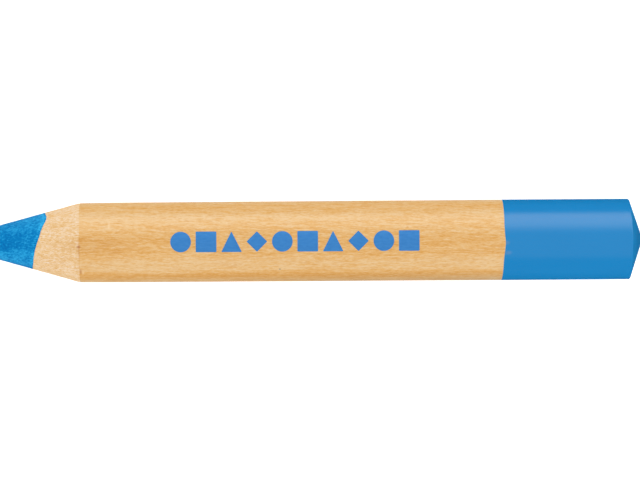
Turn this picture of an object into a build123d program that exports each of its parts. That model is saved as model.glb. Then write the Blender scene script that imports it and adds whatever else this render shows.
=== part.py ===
"""A jumbo crayon: a thick wax core in a round wooden barrel, sharpened at one end and dipped in colour at the other.

Millimetres. The barrel lies along X with the writing tip towards -X, and rests on z = 0. The origin is on that
surface, under the middle of the crayon. The stamped marks face up, +Z.

The crayon is made as real ones are: two grooved wooden slats are glued together around the core, turned round,
varnished, stamped, cut to a shallow cone at the rear, dipped in lacquer there, and sharpened last. So one outer
shape, the blank, trims every layer, and each layer is a separate solid that touches the next one face to face.
"""

from build123d import *
import os
from math import cos, radians, sin, tan

# Overall
LENGTH = 124.2
BARREL_RADIUS = 7.25  # over the varnish
CAP_LENGTH = 23.05  # the cylindrical stretch that is dipped

# Core, which sits a little off the barrel's axis, as it does in most crayons
CORE_RADIUS = 5.0
CORE_OFFSET = 0.32

# Writing end: a round nose and a straight grind, as a sharpener leaves
NOSE_RADIUS = 1.4
GRIND_ANGLE = 15.6  # between the grind and the axis

# Rear end: a shallow cone with a rounded middle
REAR_CONE_ANGLE = 19.2  # between the cone and a square cut
REAR_NOSE_RADIUS = 4.0

# Films
VARNISH = 0.06
GROOVE_GLUE = 0.10
SEAM_GLUE = 0.08
DIP_COAT = 0.08
DIP_LIP_CHAMFER = 0.05
STAMP_FILM = 0.03

# The plane between the slats goes through the core's centre and leans from upright
SEAM_LEAN = 6.5

# Stamped marks: simple shapes in a row
MARK_COUNT = 10
MARK_SIZE = 3.7
MARK_CORNER = 0.25
MARK_ROW_LENGTH = 44.8
MARK_ROW_FROM_SHOULDER = 16.2

# Places along the axis
TIP_X = -LENGTH / 2
REAR_X = LENGTH / 2
NOSE_END_X = TIP_X + NOSE_RADIUS * (1 - sin(radians(GRIND_ANGLE)))
NOSE_END_RADIUS = NOSE_RADIUS * cos(radians(GRIND_ANGLE))
SHOULDER_X = NOSE_END_X + (BARREL_RADIUS - NOSE_END_RADIUS) / tan(radians(GRIND_ANGLE))
REAR_CONE_X = REAR_X + REAR_NOSE_RADIUS * (1 / cos(radians(REAR_CONE_ANGLE)) - 1)  # its sharp apex
CAP_RADIUS = BARREL_RADIUS + DIP_COAT
CORNER_X = REAR_CONE_X - CAP_RADIUS * tan(radians(REAR_CONE_ANGLE))
CAP_LIP_X = CORNER_X - CAP_LENGTH

# Radii between layers
WOOD_RADIUS = BARREL_RADIUS - VARNISH
GROOVE_RADIUS = CORE_RADIUS + GROOVE_GLUE

AXIS_HEIGHT = CAP_RADIUS
PARTS = "parts"


def rod(radius, offset=0.0):
    """A round bar along X, longer than the crayon, with its centre moved sideways by offset."""
    return Pos(0, offset, 0) * Rot(0, 90, 0) * Cylinder(radius, 2 * LENGTH)


def rear_end(radius, inset):
    """The outline of the rear end from the barrel's corner to the axis, inset by a film's thickness."""
    slope = radians(REAR_CONE_ANGLE)
    apex_x = REAR_CONE_X - inset / cos(slope)
    nose = REAR_NOSE_RADIUS - inset
    centre_x = REAR_X - REAR_NOSE_RADIUS
    corner = (apex_x - radius * tan(slope), radius)
    leave = (centre_x + nose * cos(slope), nose * sin(slope))
    middle = (centre_x + nose * cos(slope / 2), nose * sin(slope / 2))
    end = (centre_x + nose, 0)
    return corner, [Line(corner, leave), ThreePointArc(leave, middle, end)]


def blank():
    """Everything inside the dip coat: the nose, the ground cone, the varnished barrel and the rear cone."""
    centre_x = TIP_X + NOSE_RADIUS
    tip = (TIP_X, 0)
    middle_turn = radians(90 + GRIND_ANGLE) / 2
    nose_middle = (centre_x - NOSE_RADIUS * sin(middle_turn), NOSE_RADIUS * cos(middle_turn))
    nose_end = (NOSE_END_X, NOSE_END_RADIUS)
    shoulder = (SHOULDER_X, BARREL_RADIUS)
    corner, rear = rear_end(BARREL_RADIUS, DIP_COAT)
    outline = [
        ThreePointArc(tip, nose_middle, nose_end),
        Line(nose_end, shoulder),
        Line(shoulder, corner),
        *rear,
        Line((REAR_X - DIP_COAT, 0), tip),
    ]
    return revolve(make_face(outline), Axis.X)


def seam_slab(thickness):
    """A sheet along the plane between the slats."""
    return Pos(0, CORE_OFFSET, 0) * Rot(SEAM_LEAN, 0, 0) * Box(2 * LENGTH, thickness, 4 * BARREL_RADIUS)


def front_of_seam(offset=0.0):
    """All the space on the front slat's side, from offset in front of the middle of the seam."""
    reach = 4 * BARREL_RADIUS
    block = Pos(0, -reach / 2 - offset, 0) * Box(2 * LENGTH, reach, reach)
    return Pos(0, CORE_OFFSET, 0) * Rot(SEAM_LEAN, 0, 0) * block


def core(body):
    return body & rod(CORE_RADIUS, CORE_OFFSET)


def casing(body):
    """Both slats and the glue between them, before they are parted."""
    return (body & rod(WOOD_RADIUS)) - rod(GROOVE_RADIUS, CORE_OFFSET)


def slats(body):
    """The front and the rear slat, each with its half of the round groove."""
    whole = casing(body)
    front = whole & front_of_seam(SEAM_GLUE / 2)
    rear = whole - front_of_seam(-SEAM_GLUE / 2)
    return front, rear


def seam_glue(body):
    """The glue lines above and below the core, where the slats meet."""
    strips = (casing(body) & seam_slab(SEAM_GLUE)).solids()
    lower, upper = sorted(strips, key=lambda strip: strip.center().Z)
    return upper, lower


def groove_glue(body):
    """The glue film that each groove holds the core with."""
    sleeve = body & (rod(GROOVE_RADIUS, CORE_OFFSET) - rod(CORE_RADIUS, CORE_OFFSET))
    return sleeve & front_of_seam(), sleeve - front_of_seam()


def varnish(body):
    return body - rod(WOOD_RADIUS)


def dipped_cap(body):
    """The lacquer cup over the rear end. Its lip thins out where the dip stopped."""
    corner, rear = rear_end(CAP_RADIUS, 0)
    lip_top = (CAP_LIP_X + DIP_LIP_CHAMFER, CAP_RADIUS)
    lip_foot = (CAP_LIP_X, CAP_RADIUS - DIP_LIP_CHAMFER)
    outline = [
        Line((CAP_LIP_X, 0), lip_foot),
        Line(lip_foot, lip_top),
        Line(lip_top, corner),
        *rear,
        Line((REAR_X, 0), (CAP_LIP_X, 0)),
    ]
    return revolve(make_face(outline), Axis.X) - body


def square_mark():
    return RectangleRounded(MARK_SIZE, MARK_SIZE, MARK_CORNER)


def disc_mark():
    return Circle(MARK_SIZE / 2)


def triangle_mark():
    """Its base lies along the row, and its point is towards +Y."""
    half = MARK_SIZE / 2
    sharp = make_face(Polyline((-half, -half), (half, -half), (0, half), close=True))
    return fillet(sharp.vertices(), MARK_CORNER)


def diamond_mark():
    half = MARK_SIZE / 2
    sharp = make_face(Polyline((-half, 0), (0, -half), (half, 0), (0, half), close=True))
    return fillet(sharp.vertices(), MARK_CORNER)


def stamped_marks():
    """A row of film marks, wrapped on the top of the barrel."""
    film = rod(BARREL_RADIUS + STAMP_FILM) - rod(BARREL_RADIUS)
    shapes = [disc_mark, square_mark, triangle_mark, diamond_mark]
    first_x = SHOULDER_X + MARK_ROW_FROM_SHOULDER + MARK_SIZE / 2
    pitch = (MARK_ROW_LENGTH - MARK_SIZE) / (MARK_COUNT - 1)
    marks = []
    for index in range(MARK_COUNT):
        outline = shapes[index % len(shapes)]()
        column = extrude(Pos(first_x + index * pitch, 0) * outline, 2 * BARREL_RADIUS)
        marks += (film & column).solids()
    return Compound(marks)


def build():
    body = blank()
    front, rear = slats(body)
    seam_top, seam_bottom = seam_glue(body)
    groove_front, groove_rear = groove_glue(body)
    return {
        "wood_slat_front": front,
        "wood_slat_rear": rear,
        "wax_core": core(body),
        "groove_glue_front": groove_front,
        "groove_glue_rear": groove_rear,
        "seam_glue_top": seam_top,
        "seam_glue_bottom": seam_bottom,
        "varnish_coat": varnish(body),
        "dipped_cap": dipped_cap(body),
        "stamped_marks": stamped_marks(),
    }


def save(nodes):
    os.makedirs(PARTS, exist_ok=True)
    for name, shape in nodes.items():
        resting = Pos(0, 0, AXIS_HEIGHT) * shape
        export_step(resting, os.path.join(PARTS, name + ".step"))
        print(name, "solids", len(resting.solids()), "volume", round(resting.volume, 2), "mm3")


save(build())
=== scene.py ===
"""Looks of a thick wood-cased crayon: core, two slats, glue, varnish, dipped end and stamped marks."""

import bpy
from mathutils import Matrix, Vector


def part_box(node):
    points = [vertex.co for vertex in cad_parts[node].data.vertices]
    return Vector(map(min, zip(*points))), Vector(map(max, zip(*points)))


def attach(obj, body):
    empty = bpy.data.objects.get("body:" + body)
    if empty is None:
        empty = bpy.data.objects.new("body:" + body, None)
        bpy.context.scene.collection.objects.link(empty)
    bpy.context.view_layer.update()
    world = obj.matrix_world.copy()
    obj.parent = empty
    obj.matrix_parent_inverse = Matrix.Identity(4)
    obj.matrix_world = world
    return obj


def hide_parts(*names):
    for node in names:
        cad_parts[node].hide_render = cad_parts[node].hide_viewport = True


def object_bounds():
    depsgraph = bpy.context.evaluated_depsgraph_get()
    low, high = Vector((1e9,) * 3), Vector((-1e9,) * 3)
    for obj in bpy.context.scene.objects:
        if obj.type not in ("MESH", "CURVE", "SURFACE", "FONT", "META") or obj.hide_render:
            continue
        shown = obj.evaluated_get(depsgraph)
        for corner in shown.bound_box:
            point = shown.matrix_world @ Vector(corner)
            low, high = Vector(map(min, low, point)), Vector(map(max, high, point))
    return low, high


bl_info = {
    "name": "Jumbo Crayon",
    "version": (1, 0, 0),
    "blender": (4, 5, 0),
    "location": "3D View > Sidebar > Crayon",
    "description": "Builds a thick wood-cased crayon piece by piece, and the table it lies on",
    "category": "Add Mesh",
}

from math import atan2, cos, degrees, exp, hypot, pi, radians, sin, sqrt, tan

import bpy
from bpy.props import FloatProperty, FloatVectorProperty, IntProperty, PointerProperty
from mathutils import Vector, noise

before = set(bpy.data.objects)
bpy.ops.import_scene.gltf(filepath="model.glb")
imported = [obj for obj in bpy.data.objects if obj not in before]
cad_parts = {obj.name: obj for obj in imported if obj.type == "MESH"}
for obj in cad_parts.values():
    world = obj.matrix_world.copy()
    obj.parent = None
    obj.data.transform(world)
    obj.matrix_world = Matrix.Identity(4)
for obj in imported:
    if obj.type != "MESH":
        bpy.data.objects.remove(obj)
CAD_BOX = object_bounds()

MM = 0.001
MERGE = 0.5e-6  # points nearer than this are one point

# Places that the CAD boxes give
CAP_LOW, CAP_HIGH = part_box("dipped_cap")
CORE_LOW, CORE_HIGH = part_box("wax_core")
VARNISH_LOW, VARNISH_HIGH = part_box("varnish_coat")
MARKS_LOW, MARKS_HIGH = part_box("stamped_marks")
AXIS_Z = (CAP_LOW.z + CAP_HIGH.z) / 2
CAP_RADIUS = (CAP_HIGH.z - CAP_LOW.z) / 2
BARREL_RADIUS = (VARNISH_HIGH.z - VARNISH_LOW.z) / 2
CORE_RADIUS = (CORE_HIGH.y - CORE_LOW.y) / 2
CORE_Y = (CORE_HIGH.y + CORE_LOW.y) / 2
TIP_X = CORE_LOW.x
REAR_X = CAP_HIGH.x
LIP_X = CAP_LOW.x
WOOD_SHOULDER_X = VARNISH_LOW.x  # where the grind leaves bare wood and starts to cut the varnish

# How a real crayon strays from its drawing
SLIM_FRONT = 0.09 * MM  # how much slimmer the barrel was sanded beside the shoulder than beside the lip
SLIM_SHOULDER = 0.06 * MM  # how much more was sanded off right behind the shoulder
SLIM_IN_DIP = 0.10 * MM  # how much slimmer the barrel is inside the dipped end
SWELL = 0.072 * MM  # how much the whole barrel has swollen
GRIND_SHIFT = 0.17 * MM  # how far off the axis the tip was ground
REAR_SHORT = 0.18 * MM  # how much shorter the rear end was cut
REAR_SKEW = 0.065 * MM  # how much shorter still at the +Y side, and longer at the other
REAR_INSET = 0.12 * MM  # depth of the barrel's rear end under the outside of the lacquer
CORE_INSET = 0.10 * MM  # depth of the core's rear end there
SMEAR_END = 0.3 * MM  # length over which the smeared wax comes back to the core's own size
FIBRE_FADE = 0.4 * MM  # length over which the ground wood turns smooth, beside the wax and the shoulder


class CrayonSizes(bpy.types.PropertyGroup):
    """Sizes that the boxes of the CAD parts don't give."""

    nose_radius: FloatProperty(
        name="Nose radius",
        description="Roundness of the blunt writing tip",
        default=1.4 * MM,
        unit="LENGTH",
    )
    grind_angle: FloatProperty(
        name="Grind angle",
        description="Angle between the ground cone and the axis",
        default=radians(15.6),
        subtype="ANGLE",
    )
    varnish: FloatProperty(
        name="Varnish",
        description="Thickness of the clear coat",
        default=0.06 * MM,
        unit="LENGTH",
    )
    groove_glue: FloatProperty(
        name="Groove glue",
        description="Thickness of the glue round the core",
        default=0.10 * MM,
        unit="LENGTH",
    )
    seam_glue: FloatProperty(
        name="Seam glue",
        description="Thickness of the glue between the slats",
        default=0.08 * MM,
        unit="LENGTH",
    )
    seam_lean: FloatProperty(
        name="Seam lean",
        description="How far the plane between the slats leans from upright",
        default=radians(6.5),
        subtype="ANGLE",
    )
    rear_angle: FloatProperty(
        name="Rear cone angle",
        description="Angle between the rear cone and a square cut",
        default=radians(19.2),
        subtype="ANGLE",
    )
    rear_nose: FloatProperty(
        name="Rear nose radius",
        description="Roundness of the middle of the rear cone",
        default=4.0 * MM,
        unit="LENGTH",
    )
    corner: FloatProperty(
        name="Rear corner",
        description="How far the lacquer rounds the edge of the rear cone",
        default=0.15 * MM,
        unit="LENGTH",
    )
    mark_size: FloatProperty(
        name="Mark size",
        description="Height of one stamped mark",
        default=3.7 * MM,
        unit="LENGTH",
    )
    mark_corner: FloatProperty(
        name="Mark corner",
        description="Roundness of the corners of the stamped marks",
        default=0.25 * MM,
        unit="LENGTH",
    )
    mark_count: IntProperty(
        name="Marks",
        description="How many marks are stamped in the row",
        default=10,
        min=2,
    )


class CrayonColours(bpy.types.PropertyGroup):
    """Colours of the crayon's finishes."""

    raw_wood: FloatVectorProperty(
        name="Raw wood",
        description="The sharpened, bare wood",
        default=(0.825, 0.565, 0.298),
        subtype="COLOR",
        min=0,
        max=1,
    )
    varnished_wood: FloatVectorProperty(
        name="Varnished wood",
        description="The wood as it looks through the varnish",
        default=(0.758, 0.438, 0.154),
        subtype="COLOR",
        min=0,
        max=1,
    )
    wax: FloatVectorProperty(
        name="Wax",
        description="The writing core",
        default=(0.0, 0.198, 0.505),
        subtype="COLOR",
        min=0,
        max=1,
    )
    lacquer: FloatVectorProperty(
        name="Lacquer",
        description="The dipped end",
        default=(0.0, 0.231, 0.567),
        subtype="COLOR",
        min=0,
        max=1,
    )
    foil: FloatVectorProperty(
        name="Marks",
        description="The stamped marks",
        default=(0.016, 0.199, 0.545),
        subtype="COLOR",
        min=0,
        max=1,
    )
    glue: FloatVectorProperty(
        name="Glue",
        description="The glue between wood and wood, and wood and wax",
        default=(0.80, 0.53, 0.27),
        subtype="COLOR",
        min=0,
        max=1,
    )


def sizes():
    return bpy.context.scene.crayon_sizes


def colours():
    return bpy.context.scene.crayon_colours


# ---- The crayon's outline ------------------------------------------------------------------------


class Grind:
    """The sharpened end: a round nose, then a straight cone up to the shoulder."""

    def __init__(self):
        self.slope = sizes().grind_angle
        self.nose = sizes().nose_radius
        self.nose_x = TIP_X + self.nose
        self.start = self.nose_x - self.nose * sin(self.slope)
        self.start_radius = self.nose * cos(self.slope)

    def radius(self, x):
        """The cone's radius at x."""
        return self.start_radius + (x - self.start) * tan(self.slope)

    def place(self, radius):
        """The x at which the cone has this radius."""
        return self.start + (radius - self.start_radius) / tan(self.slope)


def sanded(x):
    """How much slimmer than its full size the barrel is at x. Less than nothing means fuller."""
    along = min(1, (x - WOOD_SHOULDER_X) / (LIP_X - WOOD_SHOULDER_X))
    dipped = min(1, max(0, (x - LIP_X) / MM - 0.5))
    slim = SLIM_FRONT * (1 - along) + SLIM_SHOULDER * exp(-along / 0.06) + SLIM_IN_DIP * dipped
    return slim - SWELL


def wood_radius():
    return BARREL_RADIUS - sizes().varnish


def off_axis(x):
    """How far towards +Y the grind has moved at x, because the crayon stood askew in the sharpener."""
    return GRIND_SHIFT * min(1, max(0, (WOOD_SHOULDER_X - x) / (20 * MM)))


def out_of_square(x, y):
    """How far along X the rear end moved at x and y, because it was cut short and a little askew."""
    near_rear = min(1, max(0, (x - rear_x(CAP_RADIUS)) / (0.5 * MM) + 2))
    return -(REAR_SHORT + REAR_SKEW * y / CAP_RADIUS) * near_rear


def groove_radius():
    return CORE_RADIUS + sizes().groove_glue


def rear_x(radius, inset=0.0):
    """The x at which the rear cone has this radius. What lies under the lacquer is inset."""
    slope = sizes().rear_angle
    apex = REAR_X + sizes().rear_nose * (1 / cos(slope) - 1)
    return apex - inset / cos(slope) - radius * tan(slope)


def polar(point, centre_y=0.0):
    """The angle from straight up towards +Y, and the distance, of a point from a line along the crayon."""
    y = point.y - centre_y
    z = point.z - AXIS_Z
    return atan2(y, z), hypot(y, z)


def at(x, angle, radius, centre_y=0.0):
    return Vector((x, centre_y + radius * sin(angle), AXIS_Z + radius * cos(angle)))


def grain_noise(x, angle, radius, length, width, seed):
    """Smooth noise from -1 to 1, with lumps of this length along the crayon and this width across it."""
    across = radius / width
    return noise.noise(Vector((x / length + seed, across * sin(angle), across * cos(angle))))


def ragged(angle, seed):
    """A small unevenness of an edge that runs round the crayon."""
    return 0.05 * MM * grain_noise(0, angle, BARREL_RADIUS, MM, 1.1 * MM, seed)


# Where the wax reaches further out than its round core, or less far: angle in degrees, reach and
# half width in degrees
BORDER_BUMPS = [
    (48, 0.17 * MM, 20),
    (10, 0.035 * MM, 16),
    (-20, -0.05 * MM, 26),
    (-125, 0.07 * MM, 24),
    (140, -0.05 * MM, 30),
    (-170, 0.08 * MM, 15),
]


def border_radius(angle):
    """How far the wax reaches on the ground face, from the core's own middle."""
    reach = groove_radius() + 0.02 * MM
    for middle, bump, half_width in BORDER_BUMPS:
        away = (degrees(angle) - middle + 180) % 360 - 180
        reach += bump * exp(-((away / half_width) ** 2))
    return reach + 0.012 * MM * grain_noise(0, angle, CORE_RADIUS, MM, 0.5 * MM, 4)


def border(grind, angle):
    """Where along the crayon wax gives way to wood, at an angle round the core's middle."""
    _, radius = polar(at(0, angle, border_radius(angle), CORE_Y))
    return grind.place(radius)


def reach_from_core(angle, radius):
    """How far from the core's middle a line at this angle meets a circle round the crayon's axis."""
    return sqrt(radius**2 - (CORE_Y * cos(angle)) ** 2) - CORE_Y * sin(angle)


# ---- Modelling helpers ---------------------------------------------------------------------------


def deselect():
    if bpy.context.object and bpy.context.object.mode != "OBJECT":
        bpy.ops.object.mode_set(mode="OBJECT")
    bpy.ops.object.select_all(action="DESELECT")


def edit_all():
    bpy.ops.object.mode_set(mode="EDIT")
    bpy.ops.mesh.select_all(action="SELECT")


def outline(name, points):
    """Draws a line above the axis by extruding a single point through (x, distance from the axis) points."""
    deselect()
    bpy.ops.mesh.primitive_plane_add(size=MM, location=at(points[0][0], 0, points[0][1]))
    line = bpy.context.object
    line.name = name
    line.data.name = name
    edit_all()
    bpy.ops.mesh.merge(type="CENTER")
    for (x, radius), (next_x, next_radius) in zip(points, points[1:]):
        step = (next_x - x, 0, next_radius - radius)
        bpy.ops.mesh.extrude_region_move(TRANSFORM_OT_translate={"value": step})
    bpy.ops.object.mode_set(mode="OBJECT")
    bpy.ops.object.transform_apply(location=True, rotation=True, scale=True)
    return line


def deselect_parts(piece):
    for group in (piece.data.vertices, piece.data.edges, piece.data.polygons):
        for item in group:
            item.select = False


def strip(name, xs, inner, outer, angle):
    """A ladder of quads that stands on the core, with a rung at each x."""
    deselect()
    bpy.ops.mesh.primitive_grid_add(x_subdivisions=len(xs) - 1, y_subdivisions=1, size=2)
    ladder = bpy.context.object
    ladder.name = name
    ladder.data.name = name
    for vertex in ladder.data.vertices:
        rung = round((vertex.co.x + 1) / 2 * (len(xs) - 1))
        radius = outer if vertex.co.y > 0 else inner
        vertex.co = at(xs[rung], angle, radius, CORE_Y)
    return ladder


def spin(piece, steps, sweep=2 * pi, centre_y=0.0):
    """Sweeps what the piece holds round the crayon, from +Z towards -Y, and merges a full turn's two ends."""
    edit_all()
    bpy.ops.mesh.spin(steps=steps, angle=-sweep, center=(0, centre_y, AXIS_Z), axis=(1, 0, 0))
    bpy.ops.object.mode_set(mode="OBJECT")
    clean(piece)


def clean(piece):
    """Merges doubles and turns every face outwards."""
    edit_all()
    bpy.ops.mesh.remove_doubles(threshold=MERGE)
    bpy.ops.mesh.dissolve_degenerate(threshold=MERGE / 5)
    bpy.ops.mesh.select_all(action="SELECT")
    bpy.ops.mesh.normals_make_consistent(inside=False)
    bpy.ops.object.mode_set(mode="OBJECT")


def shape(piece, rule):
    """Moves each point to where the rule puts it, as a sculptor would."""
    for vertex in piece.data.vertices:
        vertex.co = rule(vertex.co.copy())
    piece.data.update()


def spread(start, end, count):
    return [start + (end - start) * step / count for step in range(count + 1)]


def arc(centre, radius, start, end, count):
    """Points on an arc in the plane of x and distance from the axis. Angles are from +X."""
    return [(centre[0] + radius * cos(a), centre[1] + radius * sin(a)) for a in spread(start, end, count)]


def finish_piece(piece, material, slot, *nodes, smooth_angle=35):
    """Gives a piece its finish, and its place in the crayon."""
    deselect()
    piece.select_set(True)
    bpy.context.view_layer.objects.active = piece
    bpy.ops.object.shade_smooth_by_angle(angle=radians(smooth_angle))
    piece.data.materials.clear()
    piece.data.materials.append(material)
    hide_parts(*nodes)
    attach(piece, "root")


# ---- Materials -----------------------------------------------------------------------------------


def node(tree, kind, inputs=None, **options):
    """Adds a node. An input is a value or another node's output."""
    made = tree.nodes.new("ShaderNode" + kind)
    for name, value in options.items():
        setattr(made, name, value)
    for name, value in (inputs or {}).items():
        if isinstance(value, bpy.types.NodeSocket):
            tree.links.new(value, made.inputs[name])
        else:
            made.inputs[name].default_value = value
    return made


def sums(tree, operation, first, second=0.0, third=0.0, clamp=False):
    """The output of a Math node."""
    made = node(tree, "Math", {0: first, 1: second, 2: third}, operation=operation, use_clamp=clamp)
    return made.outputs[0]


def between(tree, value, low, high, to_low=0.0, to_high=1.0):
    """The value, with low to high spread smoothly over 0 to 1 or over what is asked."""
    made = node(
        tree,
        "MapRange",
        {"Value": value, "From Min": low, "From Max": high, "To Min": to_low, "To Max": to_high},
        interpolation_type="SMOOTHSTEP",
    )
    return made.outputs[0]


def noise_at(tree, vector, scale, detail=2.0, roughness=0.5):
    """Noise from 0 to 1, with its scale along each axis in lumps per metre."""
    mapped = node(tree, "Mapping", {"Vector": vector, "Scale": scale})
    made = node(
        tree,
        "TexNoise",
        {"Vector": mapped.outputs[0], "Scale": 1.0, "Detail": detail, "Roughness": roughness},
    )
    return made.outputs[0]


def blend(tree, factor, first, second, mode="MIX"):
    made = node(tree, "Mix", {0: factor, 6: first, 7: second}, data_type="RGBA", blend_type=mode)
    return made.outputs[2]


def ramp(tree, value, stops):
    made = node(tree, "ValToRGB", {0: value})
    elements = made.color_ramp.elements
    elements[0].position, elements[0].color = stops[0][0], (*stops[0][1], 1)
    elements[1].position, elements[1].color = stops[-1][0], (*stops[-1][1], 1)
    for position, colour in stops[1:-1]:
        elements.new(position).color = (*colour, 1)
    return made.outputs[0]


def tinted(colour, factors):
    return tuple(min(channel * factor, 1) for channel, factor in zip(colour, factors, strict=True))


def new_material(name):
    """A material with a Principled shader, and object coordinates to draw on."""
    made = bpy.data.materials.new(name)
    made.use_nodes = True
    tree = made.node_tree
    shader = tree.nodes["Principled BSDF"]
    place = node(tree, "TexCoord").outputs["Object"]
    return made, tree, shader, place


def spot(tree, place, centre, size):
    """1 at the centre, falling to 0 at this size from it, along and across the crayon."""
    moved = node(tree, "VectorMath", {0: place, 1: centre}, operation="SUBTRACT")
    scale = [1 / length for length in size]
    scaled = node(tree, "VectorMath", {0: moved.outputs[0], 1: scale}, operation="MULTIPLY")
    distance = node(tree, "VectorMath", {0: scaled.outputs[0]}, operation="LENGTH").outputs["Value"]
    return between(tree, distance, 1.0, 0.0)


def grain_place(x, y):
    """A place on the upper face of the barrel."""
    return (x, y, AXIS_Z + sqrt(BARREL_RADIUS**2 - y**2))


# Tone of the growth rings across the barrel, from front to rear: 0.5 is the wood's own colour. The pale bands
# at 0.15 to 0.24 and at 0.82 are partly growth rings and partly painted highlights, and the tone gets darker
# towards the front edge.
RING_AND_HIGHLIGHT_TONES = [
    (position, (tone, tone, tone))
    for position, tone in (
        (0.0, 0.72),
        (0.04, 0.52),
        (0.075, 0.20),
        (0.105, 0.30),
        (0.15, 0.86),
        (0.24, 1.0),
        (0.31, 0.58),
        (0.50, 0.43),
        (0.60, 0.50),
        (0.70, 0.66),
        (0.82, 1.0),
        (0.86, 0.76),
        (0.90, 0.64),
        (0.95, 0.60),
        (1.0, 0.86),
    )
]

# Specks of resin and knocks: distance behind the shoulder, place across the barrel, half length,
# half width, strength and colour
RESIN = (0.42, 0.15, 0.06, 1)
PALE = (0.88, 0.66, 0.40, 1)
DIRT = (0.22, 0.17, 0.13, 1)
SPECKS = [
    (-0.05 * MM, -0.75 * MM, 0.55 * MM, 0.40 * MM, 0.85, RESIN),
    (0.0, -1.6 * MM, 0.30 * MM, 3.0 * MM, 0.22, RESIN),
    (0.25 * MM, -5.3 * MM, 0.30 * MM, 1.0 * MM, 0.6, RESIN),
    (0.65 * MM, -5.5 * MM, 0.22 * MM, 0.8 * MM, 0.45, PALE),
    (5.4 * MM, 3.1 * MM, 0.40 * MM, 1.3 * MM, 0.45, PALE),
    (36.1 * MM, -5.0 * MM, 0.32 * MM, 0.22 * MM, 0.8, DIRT),
]

SOAKED = (0.92, 0.86, 0.76, 1)  # tint of the wood where more varnish soaked in
# Colour that darkens the barrel along its front edge
FRONT_EDGE_DARK = (0.30, 0.20, 0.12, 1)
SLAT_SHIFT = 37 * MM  # how far apart in the tree the two slats grew


def slat_grain():
    """Straight, fine grain of a pale wood.

    The two slats were cut from different places, so it changes at the seam.
    """
    if "slat_grain" in bpy.data.node_groups:
        return bpy.data.node_groups["slat_grain"]
    tree = bpy.data.node_groups.new("slat_grain", "ShaderNodeTree")
    tree.interface.new_socket("Vector", in_out="INPUT", socket_type="NodeSocketVector")
    for name in ("Tone", "Fleck", "Height", "RingAndHighlight", "Stain"):
        tree.interface.new_socket(name, in_out="OUTPUT", socket_type="NodeSocketFloat")
    given = tree.nodes.new("NodeGroupInput").outputs["Vector"]
    put_out = tree.nodes.new("NodeGroupOutput")

    # Which slat: 0 in front of the seam, 1 behind it
    lean = sizes().seam_lean
    split = node(tree, "SeparateXYZ", {0: given})
    across = sums(tree, "MULTIPLY_ADD", split.outputs["Y"], cos(lean), -CORE_Y * cos(lean))
    across = sums(tree, "MULTIPLY_ADD", split.outputs["Z"], sin(lean), across)
    side = sums(tree, "GREATER_THAN", across, AXIS_Z * sin(lean))

    # The rear slat's grain runs off a little more, and both wander slowly
    slope = sums(tree, "MULTIPLY_ADD", side, 0.045, 0.004)
    drift = sums(tree, "MULTIPLY", split.outputs["X"], slope)
    slow = noise_at(tree, given, (70, 200, 200), detail=2)
    slow = sums(tree, "MULTIPLY_ADD", slow, 1.3 * MM, -0.65 * MM)
    drift = sums(tree, "ADD", drift, slow)
    y = sums(tree, "ADD", split.outputs["Y"], drift)
    z = sums(tree, "MULTIPLY_ADD", side, SLAT_SHIFT, split.outputs["Z"])
    run = node(tree, "CombineXYZ", {0: split.outputs["X"], 1: y, 2: z}).outputs[0]

    bands = between(tree, noise_at(tree, run, (24, 640, 420), detail=2), 0.34, 0.66)
    streaks = between(tree, noise_at(tree, run, (250, 3200, 3200), detail=3, roughness=0.65), 0.33, 0.67)
    fibres = between(tree, noise_at(tree, run, (1100, 6600, 6600), detail=2, roughness=0.75), 0.34, 0.66)
    tone = sums(tree, "MULTIPLY", bands, 0.16)
    tone = sums(tree, "MULTIPLY_ADD", streaks, 0.38, tone)
    tone = sums(tree, "MULTIPLY_ADD", fibres, 0.46, tone)
    pores = between(tree, noise_at(tree, run, (800, 6800, 6800), detail=1), 0.58, 0.70)

    # Growth rings lie across the slats, so each shows as a long band: pale or golden. The tones across the
    # barrel also hold painted highlights.
    wavy = noise_at(tree, given, (90, 90, 90), detail=3, roughness=0.6)
    band_y = sums(tree, "MULTIPLY_ADD", wavy, 0.8 * MM, split.outputs["Y"])
    band_y = sums(tree, "MULTIPLY", band_y, 1 / (2 * BARREL_RADIUS))
    ring_and_highlight = ramp(tree, sums(tree, "ADD", band_y, 0.5 - 0.4 * MM / (2 * BARREL_RADIUS)), RING_AND_HIGHLIGHT_TONES)

    # Darker wood beside the shoulder, where it took up more of the varnish
    stain = spot(tree, given, grain_place(WOOD_SHOULDER_X + 1.5 * MM, -0.6 * MM), (11 * MM, 2.6 * MM, 3 * MM))
    stain = sums(tree, "MULTIPLY", stain, between(tree, streaks, 0.1, 0.9, 1.0, 0.55))

    # Thin dark wisps gather in patches, and more in the front half and in the stain
    wisps = between(tree, noise_at(tree, run, (340, 5600, 5600), detail=2, roughness=0.6), 0.54, 0.66)
    patch = between(tree, noise_at(tree, given, (130, 280, 280), detail=1), 0.42, 0.62)
    front = between(tree, split.outputs["Y"], 1.5 * MM, -1.5 * MM, 0.3, 1.0)
    where = sums(tree, "MULTIPLY_ADD", patch, front, stain)
    pores = sums(tree, "MULTIPLY_ADD", wisps, where, pores, clamp=True)
    height = sums(tree, "MULTIPLY_ADD", pores, -0.6, fibres)
    results = (("Tone", tone), ("Fleck", pores), ("Height", height), ("RingAndHighlight", ring_and_highlight), ("Stain", stain))
    for name, value in results:
        tree.links.new(value, put_out.inputs[name])
    return tree


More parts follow.
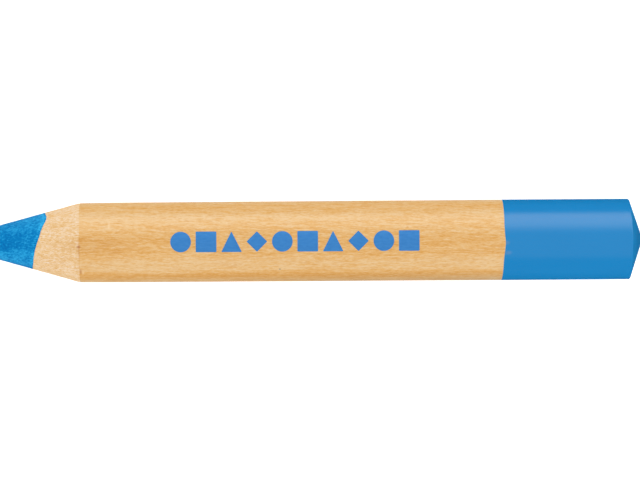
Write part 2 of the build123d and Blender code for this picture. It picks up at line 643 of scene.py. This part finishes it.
def wood(name, base, roughness, fleck, ring_and_highlight, contrast, relief, edge):
    """Wood with its grain, growth rings and flecks, and darker along the front edge. The ring tones are
    partly painted highlights.

    fleck, ring tone, contrast and edge say how strong each of these is, and relief how deep the grain is.
    """
    made, tree, shader, place = new_material(name)
    grain = node(tree, "Group", node_tree=slat_grain())
    tree.links.new(place, grain.inputs["Vector"])
    centred = sums(tree, "MULTIPLY_ADD", grain.outputs["Tone"], contrast, 0.5 - contrast / 2)
    # Ring tones, partly painted highlights, move the tone towards the pale end of the ramp below
    tone = sums(tree, "MULTIPLY_ADD", grain.outputs["RingAndHighlight"], ring_and_highlight, -ring_and_highlight / 2)
    tone = sums(tree, "ADD", tone, centred)
    tones = ramp(
        tree,
        tone,
        [
            (0.0, tinted(base, (0.88, 0.73, 0.47))),
            (0.5, tuple(base)),
            (1.0, tinted(base, (1.06, 1.27, 1.9))),
        ],
    )
    dark = tinted(base, (0.86, 0.70, 0.46))
    amount = sums(tree, "MULTIPLY", grain.outputs["Fleck"], fleck)
    colour = blend(tree, amount, tones, (*dark, 1))
    stained = blend(tree, 1.0, colour, SOAKED, mode="MULTIPLY")
    colour = blend(tree, grain.outputs["Stain"], colour, stained)
    for x, y, length, width, strength, shade in SPECKS:
        mask = spot(tree, place, grain_place(WOOD_SHOULDER_X + x, y), (length, width, width + 0.3 * MM))
        colour = blend(tree, sums(tree, "MULTIPLY", mask, strength), colour, shade)

    # Darker along the front edge, more so towards the lip
    split = node(tree, "SeparateXYZ", {0: place})
    front = between(tree, split.outputs["Y"], -0.72 * BARREL_RADIUS, -BARREL_RADIUS)
    along = between(tree, split.outputs["X"], WOOD_SHOULDER_X, LIP_X, 0.6, 1.6)
    front = sums(tree, "MULTIPLY", sums(tree, "MULTIPLY", front, edge), along)
    colour = blend(tree, front, colour, FRONT_EDGE_DARK)
    tree.links.new(colour, shader.inputs["Base Color"])
    shader.inputs["Roughness"].default_value = roughness
    bump = node(tree, "Bump", {"Strength": 1.0, "Distance": relief, "Height": grain.outputs["Height"]})
    tree.links.new(bump.outputs[0], shader.inputs["Normal"])
    return made, shader


def raw_wood():
    made, shader = wood(
        "raw_wood",
        colours().raw_wood,
        roughness=0.75,
        fleck=0.75,
        ring_and_highlight=0.08,
        contrast=1.1,
        relief=0.010 * MM,
        edge=0.0,
    )
    shader.inputs["Specular IOR Level"].default_value = 0.2
    return made


def varnished_wood():
    made, shader = wood(
        "varnished_wood",
        colours().varnished_wood,
        roughness=0.5,
        fleck=0.55,
        ring_and_highlight=0.8,
        contrast=1.15,
        relief=0.004 * MM,
        edge=0.22,
    )
    shader.inputs["Specular IOR Level"].default_value = 0.0
    shader.inputs["Sheen Weight"].default_value = 0.3
    shader.inputs["Sheen Roughness"].default_value = 0.25
    shader.inputs["Coat Weight"].default_value = 0.4
    shader.inputs["Coat Roughness"].default_value = 0.2
    return made


def blue_wax():
    """Waxy pigment, blotched where the blade smeared it, with painted highlights: a paler rim beside the wood
    and paler flanks.
    """
    made, tree, shader, place = new_material("blue_wax")
    base = colours().wax
    blotch = noise_at(tree, place, (2300, 2600, 2600), detail=3, roughness=0.65)
    patch = noise_at(tree, place, (400, 480, 480), detail=1)
    smear = noise_at(tree, place, (1100, 5200, 5200), detail=2, roughness=0.6)
    tone = sums(tree, "MULTIPLY_ADD", smear, 0.36, sums(tree, "MULTIPLY", blotch, 0.42))
    tone = sums(tree, "MULTIPLY_ADD", patch, 0.22, tone)
    stops = [
        (0.32, tinted(base, (0.0, 0.60, 0.76))),
        (0.5, tuple(base)),
        (0.68, (0.03, 0.43, 0.80)),
    ]

    # Painted highlight: paler at both flanks of the ground face, and duller in one patch near the tip
    split = node(tree, "SeparateXYZ", {0: place})
    turn = sums(tree, "ARCTAN2", split.outputs["Y"], sums(tree, "SUBTRACT", split.outputs["Z"], AXIS_Z))
    turn = sums(tree, "ABSOLUTE", sums(tree, "SUBTRACT", turn, 0.08))
    flank_highlight = sums(tree, "MULTIPLY", between(tree, turn, 0.2, 0.7), between(tree, turn, 1.35, 0.95))
    tone = sums(tree, "MULTIPLY_ADD", flank_highlight, 0.065, tone)
    dull = spot(tree, place, (TIP_X + 9 * MM, 1.5 * MM, AXIS_Z + 3.8 * MM), (8 * MM, 3.5 * MM, 4 * MM))
    tone = sums(tree, "MULTIPLY_ADD", dull, -0.022, tone)
    # Painted highlight: a paler rim beside the wood, standing in for light on the wax's ridge there
    rim_highlight = node(tree, "Attribute", attribute_name="rim_highlight").outputs["Fac"]
    tone = sums(tree, "MULTIPLY_ADD", sums(tree, "MULTIPLY", rim_highlight, patch), 0.12, tone)
    tree.links.new(ramp(tree, tone, stops), shader.inputs["Base Color"])
    shader.inputs["Roughness"].default_value = 0.55
    shader.inputs["Specular IOR Level"].default_value = 0.05
    bump = node(tree, "Bump", {"Strength": 0.8, "Distance": 0.015 * MM, "Height": tone})
    tree.links.new(bump.outputs[0], shader.inputs["Normal"])
    return made


def blue_lacquer():
    """Even, glossy lacquer, with painted shade on the rear cone. Wood shows through it at two spots inside
    the lip.
    """
    made, tree, shader, place = new_material("blue_lacquer")
    base = colours().lacquer
    cloud = noise_at(tree, place, (70, 200, 200), detail=2)
    stops = [(0.3, tinted(base, (0.92, 0.985, 0.99))), (0.7, tinted(base, (1.08, 1.015, 1.01)))]
    colour = ramp(tree, cloud, stops)
    thin = (0.13, 0.27, 0.50, 1)
    for x, y, length, width in ((0.05, -0.5, 0.9, 0.55), (0.35, -2.3, 1.0, 0.6)):
        mask = spot(tree, place, grain_place(LIP_X + x * MM, y * MM), (length * MM, width * MM, MM))
        colour = blend(tree, sums(tree, "MULTIPLY", mask, 0.48), colour, thin)
    along = node(tree, "SeparateXYZ", {0: place}).outputs["X"]
    # Painted shade: darker towards the outer end of the rear cone
    cone_shade = between(tree, along, REAR_X - 2.4 * MM, REAR_X - 0.9 * MM, 0.0, 0.8)
    colour = blend(tree, cone_shade, colour, (*tinted(base, (1, 0.72, 0.76)), 1))
    tree.links.new(colour, shader.inputs["Base Color"])
    shader.inputs["Roughness"].default_value = 0.24
    shader.inputs["Specular Tint"].default_value = (1.0, 0.68, 0.30, 1)
    shader.inputs["Sheen Weight"].default_value = 0.4
    shader.inputs["Sheen Roughness"].default_value = 0.25
    shader.inputs["Sheen Tint"].default_value = (0.0, 0.45, 0.9, 1)
    ripple = noise_at(tree, place, (150, 420, 420), detail=1)
    bump = node(tree, "Bump", {"Strength": 0.5, "Distance": 0.006 * MM, "Height": ripple})
    tree.links.new(bump.outputs[0], shader.inputs["Normal"])
    return made


def blue_foil():
    made, tree, shader, place = new_material("blue_foil")
    base = colours().foil
    worn = noise_at(tree, place, (900, 2600, 2600), detail=3)
    stops = [(0.32, tinted(base, (0.7, 0.92, 0.96))), (0.68, tinted(base, (1.4, 1.08, 1.04)))]
    tree.links.new(ramp(tree, worn, stops), shader.inputs["Base Color"])
    shader.inputs["Roughness"].default_value = 0.45
    bump = node(tree, "Bump", {"Strength": 0.4, "Distance": 0.006 * MM, "Height": worn})
    tree.links.new(bump.outputs[0], shader.inputs["Normal"])
    return made


def wood_glue():
    made, tree, shader, place = new_material("wood_glue")
    base = colours().glue
    cloud = noise_at(tree, place, (600, 1800, 1800), detail=2)
    stops = [(0.3, tinted(base, (0.9, 0.84, 0.74))), (0.7, tinted(base, (1.08, 1.12, 1.18)))]
    tree.links.new(ramp(tree, cloud, stops), shader.inputs["Base Color"])
    shader.inputs["Roughness"].default_value = 0.6
    return made


# ---- Pieces --------------------------------------------------------------------------------------


class CRAYON_OT_wax_core(bpy.types.Operator):
    """Turn the wax core, grind its tip and let it smear a little over the groove's edge"""

    bl_idname = "crayon.wax_core"
    bl_label = "Wax core"

    def execute(self, context):
        grind = Grind()
        nose = arc((grind.nose_x, 0), grind.nose, pi, pi / 2 + grind.slope, 14)
        widest = CORE_RADIUS + 0.75 * MM
        end = grind.place(widest)
        ground = [(x, grind.radius(x)) for x in spread(grind.start, end, 130)]
        back = rear_x(widest, CORE_INSET)
        buried = [(x, widest) for x in spread(end, back, 6)]
        core = outline("core", nose + ground[1:] + buried[1:] + [(back, widest / 3), (back, 0)])
        spin(core, 176)

        def rule(point):
            turn, radius = polar(point)
            if point.x < end + MM / 2:
                fade = min(1, radius / MM)
                lumps = grain_noise(point.x, turn, radius, 0.9 * MM, 0.6 * MM, 1)
                fine = grain_noise(point.x, turn, radius, 0.4 * MM, 0.35 * MM, 2)
                radius += fade * (0.016 * MM * lumps + 0.008 * MM * fine)
            point = at(point.x, turn, radius)
            angle, reach = polar(point, CORE_Y)
            edge = border_radius(angle)
            past = (point.x - border(grind, angle)) / SMEAR_END
            most = edge + (CORE_RADIUS - edge) * min(max(past, 0), 1)
            x = point.x + out_of_square(point.x, point.y)
            return at(x, angle, min(reach, most), CORE_Y + off_axis(point.x))

        shape(core, rule)
        clean(core)
        # Closeness to the border, for the painted highlight along the rim
        rim_highlight = core.data.attributes.new("rim_highlight", "FLOAT", "POINT")
        for vertex in core.data.vertices:
            angle, _ = polar(vertex.co, CORE_Y + off_axis(vertex.co.x))
            from_rim = abs(border(grind, angle) - vertex.co.x - 0.5 * MM)
            rim_highlight.data[vertex.index].value = max(0, 1 - from_rim / (0.35 * MM))
        finish_piece(core, blue_wax(), "blue_wax", "wax_core", smooth_angle=50)
        return {"FINISHED"}


def casing_piece(name, inner, outer, start, sweep, steps, ground_start):
    """A sector of the tube round the core, ground at the front and coned at the rear.

    inner and outer say how far each wall is from the core's middle, given x and the angle, and
    ground_start where the piece begins at that angle.
    """
    grind = Grind()
    front = grind.place(groove_radius())
    shoulder = WOOD_SHOULDER_X
    rear_outer = rear_x(wood_radius(), REAR_INSET)
    rear_inner = rear_x(groove_radius(), REAR_INSET)
    xs = spread(front, shoulder, 64) + spread(shoulder, rear_outer, 12)[1:] + [rear_inner]
    piece = strip(name, xs, 1 * MM, 2 * MM, start)
    spin(piece, steps, sweep, CORE_Y)

    def rule(point):
        angle, row = polar(point, CORE_Y)
        x = point.x
        if x < shoulder + MERGE:
            along = (x - front) / (shoulder - front)
            begins = ground_start(grind, angle)
            x = begins + along * (shoulder - begins)
        wall = inner if row < 1.5 * MM or x > rear_inner - MERGE else outer
        moved = at(x, angle, wall(grind, x, angle), CORE_Y + off_axis(x))
        moved.x += out_of_square(x, moved.y)
        return moved

    shape(piece, rule)
    clean(piece)
    return piece


def groove_wall(grind, x, angle):
    """The groove, which opens to the border's ragged edge at the ground face."""
    inside = min(max((x - border(grind, angle)) / SMEAR_END, 0), 1)
    edge = border_radius(angle)
    return edge + (groove_radius() - edge) * inside


def turned_wall(grind, x, angle):
    """The slat's outer face: ground to a cone, with its fibres standing a little proud, then round."""
    turn, _ = polar(at(0, angle, wood_radius(), CORE_Y))
    if x > WOOD_SHOULDER_X - MERGE:
        return reach_from_core(angle, wood_radius() - sanded(x))
    radius = grind.radius(x)
    start = border(grind, angle)
    nearest = min(x - start, WOOD_SHOULDER_X - x)
    fade = min(1, max(0, nearest / FIBRE_FADE))
    fibres = grain_noise(x, turn, radius, 1.4 * MM, 0.35 * MM, 7)
    lumps = grain_noise(x, turn, radius, 1.1 * MM, 1.0 * MM, 8)
    radius += fade * (0.010 * MM * fibres + 0.008 * MM * lumps)
    radius = min(radius, wood_radius() - sanded(x))
    return reach_from_core(angle, radius)


def film_outer(grind, x, angle):
    """The glue round the core fills the groove outwards."""
    return groove_radius()


def film_inner(grind, x, angle):
    """And it meets the core inwards."""
    return CORE_RADIUS


def behind_border(grind, angle):
    """The glue round the core stops short of the ground face, under the smeared wax."""
    return border(grind, angle) + SMEAR_END


class CRAYON_OT_slats(bpy.types.Operator):
    """Cut, groove and grind the two wooden slats"""

    bl_idname = "crayon.slats"
    bl_label = "Wooden slats"

    def execute(self, context):
        material = raw_wood()
        top = -sizes().seam_lean
        gap = sizes().seam_glue / (groove_radius() + wood_radius())
        sweep = pi - 2 * gap
        for name, node_name, start, turn in (
            ("slat_front", "wood_slat_front", top - gap, 1),
            ("slat_rear", "wood_slat_rear", top + gap, -1),
        ):
            piece = casing_piece(name, groove_wall, turned_wall, start, turn * sweep, 112, border)
            finish_piece(piece, material, "raw_wood", node_name)
        return {"FINISHED"}


class CRAYON_OT_glue(bpy.types.Operator):
    """Lay the glue in the grooves and between the slats"""

    bl_idname = "crayon.glue"
    bl_label = "Glue"

    def execute(self, context):
        material = wood_glue()
        top = -sizes().seam_lean
        gap = sizes().seam_glue / (groove_radius() + wood_radius())
        for name, node_name, start in (
            ("seam_line_top", "seam_glue_top", top + gap),
            ("seam_line_bottom", "seam_glue_bottom", top + pi + gap),
        ):
            piece = casing_piece(name, groove_wall, turned_wall, start, 2 * gap, 2, border)
            finish_piece(piece, material, "wood_glue", node_name)
        for name, node_name, turn in (
            ("groove_film_front", "groove_glue_front", 1),
            ("groove_film_rear", "groove_glue_rear", -1),
        ):
            piece = casing_piece(name, film_inner, film_outer, top, turn * pi, 60, behind_border)
            finish_piece(piece, material, "wood_glue", node_name)
        return {"FINISHED"}


class CRAYON_OT_varnish(bpy.types.Operator):
    """Coat the turned barrel, up to the edge that the grind cuts"""

    bl_idname = "crayon.varnish"
    bl_label = "Varnished barrel"

    def execute(self, context):
        shoulder = Grind().place(BARREL_RADIUS)
        rear_outer = rear_x(BARREL_RADIUS, REAR_INSET)
        rear_inner = rear_x(wood_radius(), REAR_INSET)
        outside = [(x, BARREL_RADIUS) for x in spread(shoulder, rear_outer, 64)]
        inside = [(x, wood_radius()) for x in spread(rear_inner, WOOD_SHOULDER_X, 8)]
        coat = outline("varnished_barrel", outside + inside + outside[:1])
        spin(coat, 256)

        def rule(point):
            turn, radius = polar(point)
            near_shoulder = max(0, 1 - (point.x - shoulder) / (2 * MM))
            radius -= sanded(point.x)
            if radius > BARREL_RADIUS - sanded(point.x) - MERGE:
                fade = min(1, max(0, (point.x - shoulder) / (3 * MM)))
                radius += fade * 0.008 * MM * (grain_noise(point.x, turn, radius, 9 * MM, 4 * MM, 11) - 1)
            x = point.x + near_shoulder * ragged(turn, 21) + out_of_square(point.x, point.y)
            return at(x, turn, radius)

        shape(coat, rule)
        clean(coat)
        finish_piece(coat, varnished_wood(), "varnished_wood", "varnish_coat", smooth_angle=12)
        return {"FINISHED"}


class CRAYON_OT_dipped_cap(bpy.types.Operator):
    """Dip the rear end in lacquer, with a rounded lip, corner and middle"""

    bl_idname = "crayon.dipped_cap"
    bl_label = "Dipped end"

    def execute(self, context):
        slope = sizes().rear_angle
        nose = sizes().rear_nose
        film = CAP_RADIUS - BARREL_RADIUS
        corner_x = rear_x(CAP_RADIUS)
        lip = arc((LIP_X + film, BARREL_RADIUS), film, pi, pi / 2, 5)
        side = [(x, CAP_RADIUS) for x in spread(lip[-1][0], corner_x, 30)]
        round_end = arc((REAR_X - nose, 0), nose, slope, 0, 8)
        cone_end_x, cone_end_radius = round_end[0]
        cone = [
            (corner_x + (cone_end_x - corner_x) * t, CAP_RADIUS + (cone_end_radius - CAP_RADIUS) * t)
            for t in spread(0, 1, 12)
        ]
        hidden = BARREL_RADIUS - 0.02 * MM
        back = [(rear_x(hidden, film), hidden)]
        front = [(x, hidden) for x in spread(rear_x(hidden, film), LIP_X, 8)][1:]
        inside = [(REAR_X - film, 0)] + back + front
        cap = outline("dipped_end", inside + lip + side[1:] + cone[1:] + round_end[1:])
        deselect_parts(cap)
        for vertex in cap.data.vertices:
            outermost = vertex.co.z > AXIS_Z + CAP_RADIUS - MERGE
            vertex.select = outermost and abs(vertex.co.x - corner_x) < MERGE
        bpy.ops.object.mode_set(mode="EDIT")
        bpy.ops.mesh.bevel(offset=sizes().corner, segments=8, affect="VERTICES")
        bpy.ops.object.mode_set(mode="OBJECT")
        spin(cap, 256)

        def rule(point):
            turn, radius = polar(point)
            # The dip line stands forward and a little askew, with a dent over the seam
            near_lip = max(0, 1 - (point.x - LIP_X) / (8 * MM))
            dent = 0.25 * exp(-(((turn + 0.1) / 0.25) ** 2))
            dip_line = (0.10 * sin(turn) - 0.385 + dent) * MM
            x = point.x + near_lip * (dip_line + ragged(turn, 33) / 2) + out_of_square(point.x, point.y)
            return at(x, turn, radius)

        shape(cap, rule)
        clean(cap)
        finish_piece(cap, blue_lacquer(), "blue_lacquer", "dipped_cap", smooth_angle=30)
        return {"FINISHED"}


def flat_mark(kind, x):
    """One flat mark, on the table of a press: a disc, square, triangle or diamond of the same height."""
    half = sizes().mark_size / 2
    if kind == "disc":
        bpy.ops.mesh.primitive_circle_add(vertices=72, radius=half, fill_type="NGON", location=(x, 0, 0))
    elif kind == "triangle":
        bpy.ops.mesh.primitive_plane_add(size=2 * half, location=(x, 0, 0))
        mark = bpy.context.object
        for vertex in mark.data.vertices:
            if vertex.co.y > 0:
                vertex.co.x = 0
        clean(mark)
    else:
        turn = 0 if kind == "square" else pi / 4
        size = 2 * half if kind == "square" else 2 * half / sqrt(2)
        bpy.ops.mesh.primitive_plane_add(size=size, location=(x, 0, 0), rotation=(0, 0, turn))
    mark = bpy.context.object
    bpy.ops.object.transform_apply(location=True, rotation=True, scale=True)
    if kind != "disc":
        edit_all()
        bpy.ops.mesh.bevel(offset=sizes().mark_corner * 0.6, segments=6, affect="VERTICES")
        bpy.ops.object.mode_set(mode="OBJECT")
    return mark


class CRAYON_OT_marks(bpy.types.Operator):
    """Stamp the row of marks and wrap them on the barrel"""

    bl_idname = "crayon.marks"
    bl_label = "Stamped marks"

    def execute(self, context):
        size = sizes().mark_size
        pitch = (MARKS_HIGH.x - MARKS_LOW.x - size) / (sizes().mark_count - 1)
        kinds = ("disc", "square", "triangle", "diamond")
        deselect()
        made = []
        for index in range(sizes().mark_count):
            deselect()
            made.append(flat_mark(kinds[index % len(kinds)], MARKS_LOW.x + size / 2 + index * pitch))
        deselect()
        for mark in made:
            mark.select_set(True)
        bpy.context.view_layer.objects.active = made[0]
        bpy.ops.object.join()
        marks = bpy.context.object
        marks.name = "marks"
        marks.data.name = "marks"
        for y in spread(-size / 2, size / 2, 16)[1:-1]:
            edit_all()
            bpy.ops.mesh.bisect(plane_co=(0, y, 0), plane_no=(0, 1, 0))
            bpy.ops.object.mode_set(mode="OBJECT")
        film = 0.02 * MM
        sunk = 0.02 * MM
        edit_all()
        bpy.ops.mesh.extrude_region_move(TRANSFORM_OT_translate={"value": (0, 0, film)})
        bpy.ops.object.mode_set(mode="OBJECT")

        def rule(point):
            radius = BARREL_RADIUS - sanded(point.x) + (point.z if point.z > film / 2 else -sunk)
            return Vector((point.x, point.y, AXIS_Z + sqrt(radius**2 - point.y**2)))

        shape(marks, rule)
        clean(marks)
        finish_piece(marks, blue_foil(), "blue_foil", "stamped_marks")
        return {"FINISHED"}


# ---- Stage ---------------------------------------------------------------------------------------

VIEW_WIDTH = 116.25 * MM  # what the camera sees across, at the height of the crayon's axis
VIEW_CENTRE_X = 3.38 * MM
CAMERA_X = -17.1 * MM
CAMERA_Y = 0.335 * MM
CAMERA_HEIGHT = 650 * MM  # above the crayon's axis
CAMERA_ROLL = radians(-0.397)
SENSOR = 36.0

SOFTBOX = 2.8  # strength of the long softbox, as reflections show it
OVERHEAD = 0.55  # and of the dim one above
TENT = 1.06  # strength of the even light that shades the crayon
BACKDROP = 1.1  # what the camera sees past the table


def floor_material():
    """White to the eye and to soft light, but dark in reflections, like a small sheet in a dark room."""
    made = bpy.data.materials.new("table_paper")
    made.use_nodes = True
    tree = made.node_tree
    tree.nodes.clear()
    ray = node(tree, "LightPath")
    paper = node(tree, "BsdfDiffuse", {"Color": (0.9, 0.9, 0.9, 1)})
    dim = node(tree, "BsdfDiffuse", {"Color": (0.03, 0.03, 0.03, 1)})
    glow = node(tree, "Emission", {"Color": (1, 1, 1, 1), "Strength": 0.6})
    lit = node(tree, "AddShader", {0: paper.outputs[0], 1: glow.outputs[0]})
    faint = node(tree, "Emission", {"Color": (1, 1, 1, 1), "Strength": 0.2})
    soft = node(tree, "AddShader", {0: paper.outputs[0], 1: faint.outputs[0]})
    glossy = ray.outputs["Is Glossy Ray"]
    bounced = node(tree, "MixShader", {0: glossy, 1: soft.outputs[0], 2: dim.outputs[0]})
    direct = ray.outputs["Is Camera Ray"]
    shown = node(tree, "MixShader", {0: direct, 1: bounced.outputs[0], 2: lit.outputs[0]})
    end = node(tree, "OutputMaterial")
    tree.links.new(shown.outputs[0], end.inputs["Surface"])
    return made


def sky():
    """Even white light. In reflections it is a long softbox behind the crayon and a dim one over it."""
    world = bpy.data.worlds.new("light_tent")
    bpy.context.scene.world = world
    world.use_nodes = True
    tree = world.node_tree
    tree.nodes.clear()
    ray = node(tree, "LightPath")
    split = node(tree, "SeparateXYZ", {0: node(tree, "TexCoord").outputs["Generated"]})
    tilt = sums(tree, "ARCTAN2", split.outputs["Y"], split.outputs["Z"])
    rear = between(tree, tilt, radians(18), radians(50), 0, SOFTBOX)
    rear = sums(tree, "MULTIPLY", rear, between(tree, tilt, radians(90), radians(70)))
    over = between(tree, tilt, radians(-61), radians(-46), 0, OVERHEAD)
    over = sums(tree, "MULTIPLY", over, between(tree, tilt, radians(94), radians(74)))
    seen = sums(tree, "ADD", rear, over)
    level = node(tree, "Mix", {0: ray.outputs["Is Glossy Ray"], 2: TENT, 3: seen}).outputs[0]
    level = node(tree, "Mix", {0: ray.outputs["Is Camera Ray"], 2: level, 3: BACKDROP}).outputs[0]
    light = node(tree, "Background", {"Color": (1, 1, 1, 1), "Strength": level})
    end = node(tree, "OutputWorld")
    tree.links.new(light.outputs[0], end.inputs["Surface"])


def panel(name, tilt, distance, width, depth, radiance):
    """A soft light that faces the crayon, for its shading only. Its tilt is from straight up towards +Y."""
    deselect()
    place = Vector((0, sin(tilt), cos(tilt))) * distance + Vector((0, 0, AXIS_Z))
    bpy.ops.object.light_add(type="AREA", location=place, rotation=(-tilt, 0, 0))
    light = bpy.context.object
    light.name = name
    light.data.shape = "RECTANGLE"
    light.data.size = width
    light.data.size_y = depth
    light.data.energy = radiance * pi * width * depth
    light.visible_camera = False
    light.visible_glossy = False


class CRAYON_OT_stage(bpy.types.Operator):
    """Lay the table, hang the lights and set the camera above"""

    bl_idname = "crayon.stage"
    bl_label = "Table, light and camera"

    def execute(self, context):
        deselect()
        bpy.ops.mesh.primitive_plane_add(size=8, location=(0, 0, CAD_BOX[0].z))
        floor = bpy.context.object
        floor.name = "table"
        floor.data.materials.append(floor_material())
        sky()
        panel("softbox", radians(40), 0.9, 1.2, 0.6, 0.03)

        yaw = atan2(VIEW_CENTRE_X - CAMERA_X, CAMERA_HEIGHT)
        bpy.ops.object.camera_add(
            location=(CAMERA_X, CAMERA_Y, AXIS_Z + CAMERA_HEIGHT),
            rotation=(0, -yaw, CAMERA_ROLL),
        )
        camera = bpy.context.object
        camera.data.sensor_width = SENSOR
        camera.data.lens = SENSOR * CAMERA_HEIGHT / VIEW_WIDTH
        camera.data.clip_start = 0.01
        camera.data.clip_end = 20
        context.scene.camera = camera
        context.scene.view_settings.view_transform = "Standard"
        return {"FINISHED"}


class CRAYON_PT_build(bpy.types.Panel):
    """Lists the steps, and the sizes and colours they use"""

    bl_idname = "CRAYON_PT_build"
    bl_label = "Crayon"
    bl_space_type = "VIEW_3D"
    bl_region_type = "UI"
    bl_category = "Crayon"

    def draw(self, context):
        for operator in OPERATORS:
            self.layout.operator(operator.bl_idname)
        for group in (context.scene.crayon_sizes, context.scene.crayon_colours):
            box = self.layout.box()
            for name in group.__annotations__:
                box.prop(group, name)


OPERATORS = (
    CRAYON_OT_wax_core,
    CRAYON_OT_slats,
    CRAYON_OT_glue,
    CRAYON_OT_varnish,
    CRAYON_OT_dipped_cap,
    CRAYON_OT_marks,
    CRAYON_OT_stage,
)
CLASSES = (CrayonSizes, CrayonColours, *OPERATORS, CRAYON_PT_build)


def register():
    for cls in CLASSES:
        bpy.utils.register_class(cls)
    bpy.types.Scene.crayon_sizes = PointerProperty(type=CrayonSizes)
    bpy.types.Scene.crayon_colours = PointerProperty(type=CrayonColours)


def unregister():
    del bpy.types.Scene.crayon_colours
    del bpy.types.Scene.crayon_sizes
    for cls in reversed(CLASSES):
        bpy.utils.unregister_class(cls)


def main():
    register()
    bpy.ops.crayon.wax_core()
    bpy.ops.crayon.slats()
    bpy.ops.crayon.glue()
    bpy.ops.crayon.varnish()
    bpy.ops.crayon.dipped_cap()
    bpy.ops.crayon.marks()
    bpy.ops.crayon.stage()


if __name__ == "__main__":
    main()
